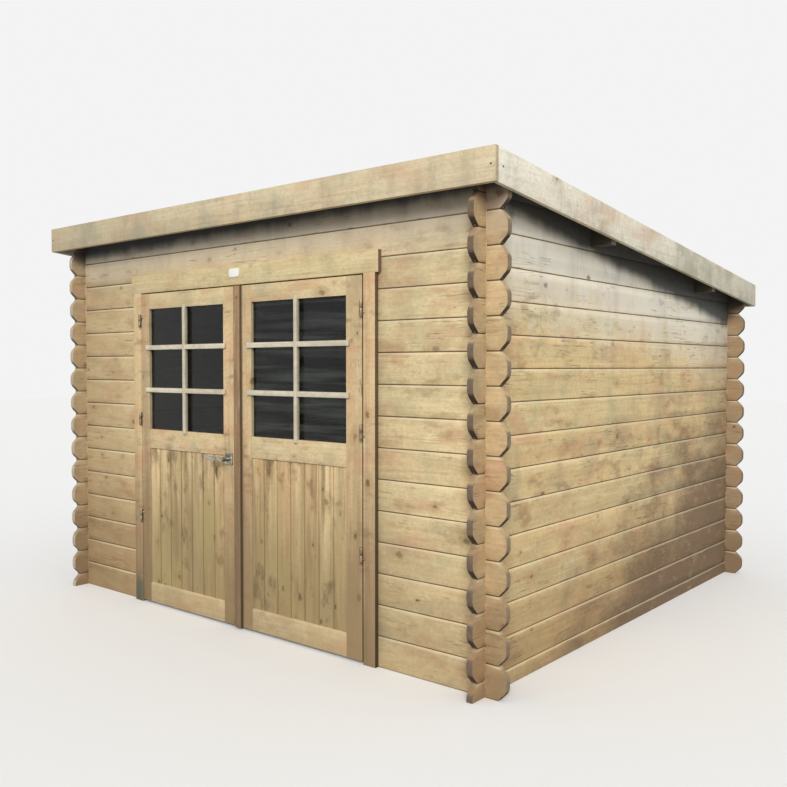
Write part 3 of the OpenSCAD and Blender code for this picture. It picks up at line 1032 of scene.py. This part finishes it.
class Finishes:
    """Every finish of the cabin, each made once."""

    marks = Mottle("#8a6f4c", 0.5)
    checks = Checks("#5c4630", 0.6)
    blush = Blotches("#c79673", 0.5, scales=(4.7, 4.7, 8.3))
    algae = Blotches("#a9a27f", 0.45, scales=(6.1, 6.1, 4.9))

    def __init__(self) -> None:
        """Makes the materials."""
        self.make_walls()
        self.make_roof()
        self.make_doors()
        self.glass = GlassFinish("window_glass").make()
        # The third colour of each metal is the painted shade on its faces turned down.
        self.steel = MetalFinish("hinge_steel", "#a1917b", "#6a5a48", "#2f2822", 0.5).make()
        self.alloy = MetalFinish("lever_alloy", "#bfbdae", "#85837a", "#302f2a", 0.42).make()
        self.plate = PaintFinish("blank_plate", "#f2f1ec", "#d8d4c8").make()

    def make_walls(self) -> None:
        """Makes the wood of the logs, with the stains and painted shade of each wall."""
        joints = JointDirtAndShade("#694f34", 0.75)
        right_nose = NoseTone("#8f7257", 0.65, axis=0, start=1.402, full=1.407)
        front_nose = NoseTone("#826251", 0.42, axis=1, start=-1.34, full=-1.346, low=0.0)
        self.front_logs = wood(
            "front_logs", Run.ACROSS_FRONT, "#e6d3a4", "#e0c697", self.blush,
            replace(self.algae, amount=0.28), Drift("#957c5c", 0.56, axis=0, start=0.3, full=-1.5),
            GroundDamp("#866843", 0.55, top=0.85, lean=0.16),
            Drift("#d6ccb7", 0.6, axis=2, start=1.66, full=1.88),
            Drift("#b9b4ab", 0.55, axis=2, start=1.84, full=1.89), replace(self.marks, amount=0.4),
            replace(self.checks, amount=0.45), replace(right_nose, shade="#a07048", amount=0.36, low=0.55),
            NoseTone("#715f56", 0.5, axis=0, start=-1.402, full=-1.407, low=0.3), joints,
            # painted shade and dirt in a band under the front eaves
            EaveShadeAndGrime("#333a42", 0.92, lean=0.014), end="#93826a", end_dark="#5b4d3f", knots=0.46)
        self.back_logs = wood(
            "back_logs", Run.ACROSS_FRONT, "#d6c49c", "#cfb48a", self.blush, self.algae,
            GroundDamp("#8c7353", 0.7), self.marks, self.checks, right_nose, joints,
            # painted shade and dirt in a band under the back eaves
            EaveShadeAndGrime("#363737", 0.92, reach=0.22))
        # Painted shade and dirt in a band under the side eaves, with drips below it.
        painted_shade = EaveShadeAndGrime("#383b3b", 0.92, reach=0.148, full=0.078, lean=0.02, grow=0.045,
                          drip="#938f8a", drip_amount=0.45)
        side_layers = (
            self.blush, self.algae, GroundDamp("#957349", 0.55, top=0.8), Bleach("#eae6d8", 0.9),
            Drift("#7d6a52", 0.4, axis=1, start=0.75, full=1.36), RearDamp("#6d5846", 0.85), self.marks,
            self.checks, NoseTone("#8f7257", 0.6, axis=1, start=1.358, full=1.364),
            JointDirtAndShade("#634b32", 0.75, shift=COURSE / 2), painted_shade)
        self.right_logs = wood(
            "right_wall_logs", Run.FRONT_TO_BACK, "#dfcb99", "#dabc89", *side_layers, front_nose)
        self.left_logs = wood(
            "left_wall_logs", Run.FRONT_TO_BACK, "#d6c096", "#d2b084", *side_layers,
            replace(front_nose, shade="#746656", amount=0.4, low=0.45), end="#bfb29c", end_dark="#8d7d68",
            end_under="#6d5f50")

    def make_roof(self) -> None:
        """Makes the wood of the roof and its felt."""
        # The purlins lie wholly in the band of painted shade under the roof, and their ends are painted dark
        # grey as shade too.
        self.purlins = wood(
            "purlin_wood", Run.ACROSS_FRONT, "#a48c66", "#957852",
            EaveShadeAndGrime("#383633", 0.92, reach=0.3, full=0.15), end="#6d6861", end_dark="#4d4843")
        self.roof_boards = wood(
            "roof_board_wood", Run.DOWN_ROOF, "#a08a66", "#92764f", Blotches("#5a4a38", 0.6), spread=0.14)
        stains = (
            Blotches("#cda98a", 0.55, scales=(3.1, 3.1, 7.0)),
            Blotches("#a5a48c", 0.6, scales=(4.3, 4.3, 5.0)),
            Blotches("#8d8674", 0.28, scales=(11.0, 11.0, 4.0)))
        ends = {"end": "#c9b997", "end_dark": "#9c8b70", "end_under": "#9c8b70", "figure": 0.03}
        self.front_fascia = wood(
            "front_fascia_wood", Run.ACROSS_FRONT, "#d9cba9", "#d2be99", *stains,
            Drift("#a3987c", 0.35, axis=0, start=0.6, full=-1.5), knots=0.2, **ends)
        self.side_fascia = wood(
            "side_fascia_wood", Run.FRONT_TO_BACK, "#eee8d6", "#e6dcc4", *stains,
            Drift("#b5b4a1", 0.36, axis=1, start=-0.6, full=1.5), late="#b3a284", knots=0.3, **ends)
        self.felt = FeltFinish("roofing_felt").make()

    def make_doors(self) -> None:
        """Makes the wood of the door frame and the leaves."""
        # painted shade in the gap between the hinge-side stile and the right-hand jamb
        edges = EdgeShade("#33261a", 0.85, beyond=0.78)
        self.frame_upright = wood(
            "frame_upright", Run.UPRIGHT, "#d8c497", "#d2b489", self.blush, Mottle("#7d6344", 0.5),
            LowerAge("#7f694c", 0.8, full=0.0, start=1.2), edges,
            Spot("#4f574f", 0.75, at=(-0.835, 0.03), size=(0.05, 0.14)))
        self.frame_level = wood(
            "frame_level", Run.ACROSS_FRONT, "#d8c698", "#d2bb8e", Blotches("#c09a74", 0.35), self.algae,
            replace(self.marks, amount=0.35))
        self.stiles = wood(
            "door_stiles", Run.UPRIGHT, "#d9c599", "#d4b388", self.blush, self.algae,
            Mottle("#775d42", 0.6), self.checks, LowerAge("#8f7856", 0.85),
            # faces turned right: grey painted shade, and dark painted shade in the hinge gap
            Drift("#7d6749", 0.35, axis=0, start=-0.6, full=-0.85), EdgeShade("#a39a83", 0.6), edges)
        self.rails = wood(
            "door_rails", Run.ACROSS_FRONT, "#dbc99e", "#d5bb90", self.blush, self.algae,
            Mottle("#7b6147", 0.45), LowerAge("#a8906a", 0.65, full=-0.4),
            # the rails' faces turned down carry dirt and painted shade
            EdgeShade("#4d3823", 0.7, axis=2, start=-0.5, full=-0.8))
        self.panels = wood(
            "door_panels", Run.UPRIGHT, "#e3cd9e", "#e2bb8d",
            Blotches("#846a47", 0.75, scales=(23.0, 23.0, 1.5)), LowerAge("#94805a", 0.85, start=1.1),
            Blotches("#b0a06c", 0.5, scales=(6.0, 6.0, 3.0)),
            Mottle("#5d4935", 0.58, scales=(13.0, 13.0, 7.0), share=0.54),
            # painted shade on the faces turned right in the boards' grooves
            EdgeShade("#6b5538", 0.5, start=0.3, full=0.6),
            Spot("#3a332b", 0.8, at=(-0.184, 0.755), size=(0.014, 0.045)), spread=0.14, knots=0.7,
            knot_cells=(4.0, 9.0))
        stains = (Blotches("#b3a98f", 0.4, scales=(9.0, 9.0, 9.0)), Mottle("#9a8c74", 0.4))
        ends = {"end": "#b5ab94", "end_dark": "#978b74", "end_under": "#978b74", "knots": 0.05}
        self.upright_bars = wood("upright_bar_wood", Run.UPRIGHT, "#d9d3bf", "#d0c7b0", *stains, **ends)
        self.level_bars = wood("level_bar_wood", Run.ACROSS_FRONT, "#dad3bd", "#d1c7ae", *stains, **ends)
        self.strip = wood(
            "strip_wood", Run.UPRIGHT, "#a38a69", "#937757",
            Blotches("#75604a", 0.55, scales=(12.0, 12.0, 2.0)), LowerAge("#74604a", 0.7),
            # painted shade on the strip's faces turned right
            EdgeShade("#4a3827", 0.75))


# Sub-assemblies


@dataclass
class LogWalls:
    """The notched logs of the four walls, with eased edges."""

    finishes: Finishes
    edge: float = 0.0014
    nose_round: float = 0.016
    nose_faces: int = 4
    nose_clear: float = 0.02
    nose_slant: float = 0.6
    corner_x: float = 1.404
    corner_front: float = FRONT_Y
    corner_back: float = 1.359

    def build(self) -> None:
        """Copies every node of logs, eases it and numbers its logs."""
        walls = ((0, "wall_logs", self.finishes.front_logs, ("front_left", "front_right", "front_header")),
                 (0, "wall_logs", self.finishes.back_logs, ("back_wall",)),
                 (1, "side_logs", self.finishes.left_logs, ("left_wall",)),
                 (1, "side_logs", self.finishes.right_logs, ("right_wall",)))
        seed = int(Seed.LOGS)
        for along, slot, look, groups in walls:
            for node in (f"{group}_logs_{half}" for group in groups for half in "ab"):
                stand_in(node, f"{node}_planed", "cabin", slot, look, self.edge, 1, seed,
                         partial(self.round_noses, along=along))
                seed += 1

    def round_noses(self, piece: Object, along: int) -> None:
        """Rounds the two blunt corners of every log end that stands out past a wall.

        Args:
            piece: the logs.
            along: 0 where they run across the front, 1 where they run front to back.
        """
        start, stop = ((-self.corner_x, self.corner_x), (self.corner_front, self.corner_back))[along]

        def blunt(edge: bmesh.types.BMEdge) -> bool:
            """Finds the edges between a log's end and its slanted cuts.

            Args:
                edge: an edge of the logs.

            Returns:
                Whether it is one of them.
            """
            place = (edge.verts[0].co + edge.verts[1].co)[along] / 2
            outside = place < start - self.nose_clear or place > stop + self.nose_clear
            ends = all(abs(face.normal[along]) > self.nose_slant for face in edge.link_faces)
            return outside and ends and len(edge.link_faces) == 2

        with editing(piece):
            if choose(piece, "EDGE", blunt):
                bevel(self.nose_round, self.nose_faces)


@dataclass
class Roof:
    """Purlins, grooved boards, felt in lapped strips, the fascia round them and the nails."""

    finishes: Finishes
    edge: float = 0.002
    boards: int = 34
    groove: float = 0.004
    strips: int = 3
    lap: float = 0.08
    lap_rise: float = 0.03
    lap_gap: float = 0.0004
    felt_thick: float = 0.003
    felt_edge: float = 0.0008
    felt_bend: float = 60.0
    nail_radius: float = 0.0045
    nail_depth: float = 0.003
    nail_edge: float = 0.0009
    front_nail_in: float = 0.02
    side_nail_in: float = 0.05
    clout_in: float = 0.05
    clout_pitch: float = 0.145
    clouts: int = 21

    def build(self) -> None:
        """Builds the roof from the inside out."""
        self.build_boards()
        self.build_felt()
        stand_in("purlins", "purlins_sawn", "cabin", "purlin_wood", self.finishes.purlins, self.edge,
                 seed=Seed.PURLINS)
        for number, side in enumerate(("front", "back", "left", "right")):
            look = self.finishes.front_fascia if number < 2 else self.finishes.side_fascia
            stand_in(f"{side}_fascia", f"{side}_fascia_board", "cabin", "fascia_wood", look, self.edge,
                     seed=Seed.FASCIA + number)
        self.build_fascia_nails()
        self.build_clouts()

    def sloped(self, name: str, low: Point, high: Point) -> Object:
        """Starts a flat block that follows the roof's fall.

        Args:
            name: the piece's name.
            low: lowest corner, with the height at the block's front end.
            high: highest corner, with the height at the block's front end.

        Returns:
            The block, its rear end lowered to the fall.
        """
        piece = start_block(name, low, high)
        with editing(piece):
            choose(piece, "VERT", lambda vert: vert.co.y > (low[1] + high[1]) / 2)
            bpy.ops.transform.translate(value=(0, 0, -(high[1] - low[1]) * ROOF_FALL))
        return piece

    def build_boards(self) -> None:
        """Models one board with grooved edges and repeats it over the roof's width."""
        low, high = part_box("roof_deck")
        pitch = (high.x - low.x) / self.boards
        drop = (high.y - low.y) * ROOF_FALL
        board = self.sloped("roof_boards", (low.x, low.y, low.z + drop), (low.x + pitch, high.y, high.z))
        with editing(board):
            choose(board, "EDGE", runs_along(1, 1.0))
            bevel(self.groove, 1)
        board = repeated(board, pitch, self.boards)
        number_planks(board, Seed.ROOF_BOARDS)
        settle(board, "cabin", "roof_boards", self.finishes.roof_boards, "roof_deck")

    def build_felt(self) -> None:
        """Lays strips of felt across the roof, each lapped over the one below it."""
        low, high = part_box("roof_felt")
        base = low.z + (high.y - low.y) * ROOF_FALL
        depth = (high.y - low.y) / self.strips
        parts = []
        for index in range(self.strips):
            front = low.y + depth * index
            last = index == self.strips - 1
            rear = high.y if last else front + depth + self.lap
            level = base - (front - low.y) * ROOF_FALL
            strip = self.sloped(f"felt_strip_{index}", (low.x, front, level),
                                (high.x, rear, level + self.felt_thick))
            if not last:
                self.lift_lap(strip, rear - self.lap)
            ease(strip, self.felt_edge, 1, self.felt_bend)
            parts.append(strip)
        felt = joined("felt_strips", *parts[1:], parts[0])
        settle(felt, "cabin", "roofing_felt", self.finishes.felt, "roof_felt")

    def lift_lap(self, strip: Object, start: float) -> None:
        """Lifts the rear end of a strip over the next one.

        Args:
            strip: the strip of felt.
            start: where the next strip begins.
        """
        with editing(strip):
            for cut in (start - self.lap_rise, start):
                bpy.ops.mesh.select_all(action="SELECT")
                bpy.ops.mesh.bisect(plane_co=(0, cut, 0), plane_no=(0, 1, 0))
            choose(strip, "VERT", lambda vert: vert.co.y > start - TOUCH)
            bpy.ops.transform.translate(value=(0, 0, self.felt_thick + self.lap_gap))

    def build_fascia_nails(self) -> None:
        """Sets one nail into each end of the front fascia and one into the right fascia."""
        low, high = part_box("front_fascia")
        mid = (low.z + high.z) / 2
        out = high.x - self.front_nail_in
        front = repeated(self.nail("fascia_nails", (out, low.y, mid), Drive.Y), -2 * out, 2)
        fall = self.side_nail_in * ROOF_FALL
        side = self.nail("fascia_nail_right", (high.x, low.y + self.side_nail_in, mid - fall), Drive.X)
        nails = joined("fascia_nails", side, front)
        settle(nails, "cabin", "hinge_steel", self.finishes.steel)

    def build_clouts(self) -> None:
        """Sets a row of nails along each lap of the felt."""
        low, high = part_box("roof_felt")
        depth = (high.y - low.y) / self.strips
        rows = []
        for index in range(1, self.strips):
            y = low.y + depth * index + self.lap / 2
            z = high.z - (y - low.y) * ROOF_FALL + self.felt_thick
            nail = self.nail(f"felt_clouts_{index}", (low.x + self.clout_in, y, z), Drive.Z)
            rows.append(repeated(nail, self.clout_pitch, self.clouts))
        clouts = joined("felt_clouts", *rows[1:], rows[0])
        settle(clouts, "cabin", "hinge_steel", self.finishes.steel)

    def nail(self, name: str, place: Point, drive: Drive) -> Object:
        """Models one low domed nail head.

        Args:
            name: the piece's name.
            place: the point of the surface that it sits on.
            drive: the axis that it is driven along.

        Returns:
            The nail head.
        """
        piece = start_round(name, place, drive, self.nail_radius, self.nail_depth, 12)
        ease(piece, self.nail_edge)
        return piece


@dataclass
class DoorFrame:
    """Jambs, casings outside and inside, and the small blank plate over the doors."""

    finishes: Finishes
    edge: float = 0.0018
    plate_low: Point = (-0.066, CASING_FACE_Y - 0.003, 1.704)
    plate_high: Point = (0.006, CASING_FACE_Y, 1.745)
    plate_corner: float = 0.01
    plate_rim: float = 0.002
    plate_rise: float = 0.0006

    def build(self) -> None:
        """Eases every board of the frame and fixes the plate."""
        boards = [f"{side}_{kind}" for kind in ("jamb", "casing", "inner_casing")
                  for side in ("left", "right", "head")]
        for number, node in enumerate(boards):
            look = self.finishes.frame_level if node.startswith("head") else self.finishes.frame_upright
            stand_in(node, f"{node}_board", "cabin", "frame_wood", look, self.edge, seed=Seed.FRAME + number)
        plate = start_block("blank_plate", self.plate_low, self.plate_high)
        with editing(plate):
            choose(plate, "EDGE", runs_along(1, 0.001))
            bevel(self.plate_corner, 5)
            choose(plate, "FACE", lambda face: face.normal.y < -SQUARE)
            bpy.ops.mesh.inset(thickness=self.plate_rim, depth=self.plate_rise)
        smooth(plate)
        settle(plate, "cabin", "frame_wood", self.finishes.plate)


@dataclass
class DoorLeaf:
    """One door leaf: stiles, rails, boarded panel, glass, glazing bars and hinge halves."""

    finishes: Finishes
    side: Side
    edge: float = 0.0016
    hinge_edge: float = 0.004
    hinge_edge_x: float = 0.785
    hinge_x: float = 0.796
    hinge_y: float = -1.373
    metal_edge: float = 0.0008
    pin_radius: float = 0.0042
    pin_slim: float = 0.92
    rail_top: float = 0.118
    rail_slope: float = 0.012
    boards: int = 7
    groove: float = 0.003
    slot: float = 0.003
    tongue_in: float = 0.0012
    light_in: float = 0.0087
    upright_wide: float = 0.019
    level_wide: float = 0.024
    bar_thick: float = 0.01
    bar_back: float = 0.0148
    bar_narrow: float = 0.5
    bar_gap: float = 0.001
    upright_lap: float = 0.014
    level_lap: float = 0.022
    bar_heights: tuple[float, float] = (1.149, 1.374)

    @property
    def key(self) -> str:
        """The leaf's side, as its names begin."""
        return self.side.name.lower()

    @property
    def body(self) -> str:
        """The CAD body of this leaf, with which its nodes' names begin too."""
        return f"{self.key}_door"

    def build(self) -> None:
        """Builds the leaf's wood, glass and hinges."""
        steel = self.finishes.steel
        stand_in(f"{self.body}_stiles", f"{self.key}_stiles", self.body, "door_wood", self.finishes.stiles,
                 self.edge, seed=Seed.STILES + self.side, shape=self.round_hinge_edge)
        stand_in(f"{self.body}_rails", f"{self.key}_rails", self.body, "door_wood", self.finishes.rails,
                 self.edge, seed=Seed.RAILS + self.side, shape=self.slope_rail)
        self.build_panel()
        self.build_bars()
        glass = frame["nodes"][f"{self.body}_glass"]
        glass.data.materials.clear()
        glass.data.materials.append(self.finishes.glass)
        LOG.info("%s: glazed on %s", glass.name, self.body)
        stand_in(f"{self.body}_hinges", f"{self.key}_hinge_sleeves", self.body, "hinge_steel", steel,
                 self.metal_edge)
        stand_in(f"{self.key}_hinge_pins", f"{self.key}_hinge_pins_turned", "cabin", "hinge_steel", steel,
                 self.metal_edge, shape=self.slim_pins)

    def round_hinge_edge(self, stiles: Object) -> None:
        """Rounds the outer edges of the stile at the hinges.

        Args:
            stiles: the leaf's stiles.
        """
        with editing(stiles):
            choose(stiles, "EDGE", lambda edge: all(
                abs(vert.co.x) > self.hinge_edge_x and vert.co.y < LEAF_FACE_Y + TOUCH for vert in edge.verts))
            bevel(self.hinge_edge, 2)

    def slope_rail(self, rails: Object) -> None:
        """Slopes the top of the bottom rail outwards.

        Args:
            rails: the leaf's rails.
        """
        with editing(rails):
            choose(rails, "VERT", lambda vert: abs(vert.co.z - self.rail_top) < TOUCH
                   and abs(vert.co.y - LEAF_FACE_Y) < TOUCH)
            bpy.ops.transform.translate(value=(0, 0, -self.rail_slope))

    def slim_pins(self, pins: Object) -> None:
        """Turns the pins a little slimmer, to run free in their sleeves.

        Args:
            pins: the hinges' lower halves.
        """
        x, y = self.hinge_x * (1 if self.side else -1), self.hinge_y
        with editing(pins):
            choose(pins, "VERT", lambda vert: math.hypot(vert.co.x - x, vert.co.y - y) < self.pin_radius)
            bpy.ops.transform.resize(value=(self.pin_slim, self.pin_slim, 1.0), center_override=(x, y, 0.0))

    def build_panel(self) -> None:
        """Models one matched board with grooved edges and repeats it over the panel."""
        node = f"{self.body}_panel"
        low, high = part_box(node)
        pitch = (high.x - low.x) / self.boards
        board = start_block(f"{self.key}_panel_boards", low, (low.x + pitch - self.slot, high.y, high.z))
        with editing(board):
            choose(board, "EDGE", runs_along(2, 0.3))
            bevel(self.groove, 1)
            choose(board, "FACE", lambda face: face.normal.x > SQUARE)
            bpy.ops.mesh.inset(thickness=self.tongue_in)
            bpy.ops.mesh.extrude_region_move(TRANSFORM_OT_translate={"value": (2 * self.slot, 0, 0)})
        smooth(board, 20.0)
        board = repeated(board, pitch, self.boards)
        number_planks(board, Seed.PANEL + self.side)
        settle(board, self.body, "panel_boards", self.finishes.panels, node)

    def build_bars(self) -> None:
        """Plants the glazing bars over the light: one upright and two level bars cut to it."""
        glass_low, glass_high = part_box(f"{self.body}_glass")
        left, right = glass_low.x + self.light_in, glass_high.x - self.light_in
        low, high = glass_low.z + self.light_in, glass_high.z - self.light_in
        mid = (left + right) / 2
        half = self.upright_wide / 2
        tall = self.level_wide / 2
        face = LEAF_FACE_Y - self.bar_thick
        upright = self.bar(f"{self.key}_upright_bar", (mid - half, face, low - self.upright_lap),
                           (mid + half, LEAF_FACE_Y, high + self.upright_lap), 2, (low, high))
        number_planks(upright, Seed.UPRIGHT_BAR + self.side)
        settle(upright, self.body, "door_wood", self.finishes.upright_bars)
        spans = ((left - self.level_lap, mid - half, (left, mid - half - self.bar_gap)),
                 (mid + half, right + self.level_lap, (mid + half + self.bar_gap, right)))
        parts = [self.bar(f"{self.key}_bar_{number}", (start, face, height - tall),
                          (stop, LEAF_FACE_Y, height + tall), 0, inner)
                 for number, height in enumerate(self.bar_heights) for start, stop, inner in spans]
        level = joined(f"{self.key}_level_bars", *parts)
        number_planks(level, Seed.LEVEL_BARS + self.side)
        settle(level, self.body, "door_wood", self.finishes.level_bars)

    def bar(self, name: str, low: Point, high: Point, axis: int, inner: tuple[float, float]) -> Object:
        """Models a bar whose back narrows towards the glass between the edges of the light.

        Args:
            name: the bar's name.
            low: lowest corner.
            high: highest corner.
            axis: 0 for a level bar, 2 for an upright one.
            inner: where the narrow back starts and ends along the bar.

        Returns:
            The bar.
        """
        piece = start_block(name, low, high)
        way = tuple(float(index == axis) for index in range(3))
        with editing(piece):
            for cut in inner:
                bpy.ops.mesh.select_all(action="SELECT")
                bpy.ops.mesh.bisect(plane_co=tuple(cut * w for w in way), plane_no=way)
            choose(piece, "FACE", lambda face: face.normal.y > SQUARE
                   and inner[0] < face.calc_center_median()[axis] < inner[1])
            bpy.ops.mesh.extrude_region_move(TRANSFORM_OT_translate={"value": (0, self.bar_back, 0)})
            narrow = [1.0 if index in (1, axis) else self.bar_narrow for index in range(3)]
            middle = tuple((a + b) / 2 for a, b in zip(low, high))
            bpy.ops.transform.resize(value=narrow, center_override=middle)
        ease(piece, self.edge)
        return piece


@dataclass
class DoorFurniture:
    """The cover strip, the lever with its plates and the plates' screws, on the left leaf."""

    finishes: Finishes
    strip_edge: float = 0.001
    strip_round: float = 0.007
    strip_front_y: float = -1.378
    plate_edge: float = 0.0018
    lever_edge: float = 0.0028
    screw_places: tuple[tuple[float, float], ...] = ((-0.092, 0.844), (-0.06, 0.804))
    plate_face_y: float = -1.368
    screw_radius: float = 0.0042
    screw_depth: float = 0.004
    screw_edge: float = 0.0012

    def build(self) -> None:
        """Rounds the strip and the metal parts and sets the screws."""
        stand_in("door_strip", "cover_strip", "left_door", "strip_wood", self.finishes.strip,
                 self.strip_edge, seed=Seed.STRIP, shape=self.round_strip)
        stand_in("lever_plates", "lever_plates_cast", "left_door", "lever_metal", self.finishes.alloy,
                 self.plate_edge, 3)
        stand_in("door_lever", "lever_cast", "lever", "lever_metal", self.finishes.alloy, self.lever_edge, 3)
        screws = [self.screw(x, z) for x, z in self.screw_places]
        screws = joined("plate_screws", *screws[1:], screws[0])
        settle(screws, "left_door", "hinge_steel", self.finishes.steel)

    def round_strip(self, strip: Object) -> None:
        """Rounds the front of the cover strip.

        Args:
            strip: the cover strip.
        """
        with editing(strip):
            choose(strip, "EDGE", lambda edge: all(vert.co.y < self.strip_front_y for vert in edge.verts))
            bevel(self.strip_round, 4)

    def screw(self, x: float, z: float) -> Object:
        """Models one domed screw head with a sunk drive.

        Args:
            x: its place across the front.
            z: its height above the ground.

        Returns:
            The screw head.
        """
        piece = start_round("plate_screw", (x, self.plate_face_y, z), Drive.Y, self.screw_radius,
                            self.screw_depth, 16)
        ease(piece, self.screw_edge)
        with editing(piece):
            choose(piece, "FACE", lambda face: face.normal.y < -SQUARE)
            bpy.ops.mesh.inset(thickness=self.screw_edge, depth=-self.screw_edge)
        smooth(piece)
        return piece


@dataclass
class Studio:
    """Floor, light and camera."""

    lens: float = 39.89
    sensor: float = 36.0
    place: Point = (3.2475, -4.120, 1.270)
    heading: float = 39.61
    pitch: float = -1.73
    key_way: Point = (64.0, 0.0, 38.0)
    key_strength: float = 2.45
    key_spread: float = 28.0
    fill: float = 0.56
    backdrop: float = 0.9
    floor_size: float = 60.0
    floor_lit: tuple[float, ...] = (0.3, 0.3, 0.29, 1.0)
    floor_seen: tuple[float, ...] = (0.97, 0.97, 0.96, 1.0)

    def build(self) -> None:
        """Builds the stage."""
        self.build_floor()
        self.build_world()
        self.build_lamp()
        self.build_camera()
        bpy.context.scene.view_settings.view_transform = "Standard"

    def seen(self, tree: NodeTree) -> NodeSocket:
        """Tells a ray that comes from the camera, a gloss or a glass from light that bounces.

        Args:
            tree: the nodes to add to.

        Returns:
            A socket that is 1 for such a ray and 0 for other light.
        """
        path = tree.nodes.new("ShaderNodeLightPath")
        total = path.outputs["Is Camera Ray"]
        for key in ("Is Glossy Ray", "Is Transmission Ray"):
            most = tree.nodes.new("ShaderNodeMath")
            most.operation = "MAXIMUM"
            tree.links.new(total, most.inputs[0])
            tree.links.new(path.outputs[key], most.inputs[1])
            total = most.outputs[0]
        return total

    def build_floor(self) -> None:
        """Lays a wide pale floor."""
        bpy.ops.object.select_all(action="DESELECT")
        bpy.ops.mesh.primitive_plane_add(size=self.floor_size, location=(0, 0, 0))
        floor = named("floor")
        s = NodeSheet("pale_floor")
        s.feed(s.shader.inputs["Base Color"], s.mix(self.seen(s.tree), self.floor_lit, self.floor_seen))
        s.shader.inputs["Roughness"].default_value = 0.9
        floor.data.materials.append(s.material)

    def build_world(self) -> None:
        """Gives even light from all round and a white background."""
        world = bpy.data.worlds.new("studio")
        bpy.context.scene.world = world
        world.use_nodes = True
        tree = world.node_tree
        tree.nodes.clear()
        output = tree.nodes.new("ShaderNodeOutputWorld")
        both = tree.nodes.new("ShaderNodeMixShader")
        tree.links.new(self.seen(tree), both.inputs[0])
        for index, strength in ((1, self.fill), (2, self.backdrop)):
            glow = tree.nodes.new("ShaderNodeBackground")
            glow.inputs["Color"].default_value = (1.0, 1.0, 1.0, 1.0)
            glow.inputs["Strength"].default_value = strength
            tree.links.new(glow.outputs[0], both.inputs[index])
        tree.links.new(both.outputs[0], output.inputs[0])

    def build_lamp(self) -> None:
        """Hangs one broad soft lamp in front, high and to the right."""
        bpy.ops.object.select_all(action="DESELECT")
        bpy.ops.object.light_add(type="SUN", rotation=tuple(math.radians(a) for a in self.key_way))
        lamp = bpy.context.view_layer.objects.active.data
        lamp.energy = self.key_strength
        lamp.angle = math.radians(self.key_spread)

    def build_camera(self) -> None:
        """Sets the camera where the photograph was taken from."""
        turn = (math.radians(90 + self.pitch), 0.0, math.radians(self.heading))
        bpy.ops.object.select_all(action="DESELECT")
        bpy.ops.object.camera_add(location=self.place, rotation=turn)
        camera = bpy.context.view_layer.objects.active
        camera.data.sensor_width = self.sensor
        camera.data.lens = self.lens
        bpy.context.scene.camera = camera


def main() -> None:
    """Builds the cabin's pieces in order."""
    logging.basicConfig(level=logging.INFO, format="%(name)s: %(message)s")
    Studio().build()
    finishes = Finishes()
    LogWalls(finishes).build()
    Roof(finishes).build()
    DoorFrame(finishes).build()
    for side in Side:
        DoorLeaf(finishes, side).build()
    DoorFurniture(finishes).build()


if __name__ == "__main__":
    main()
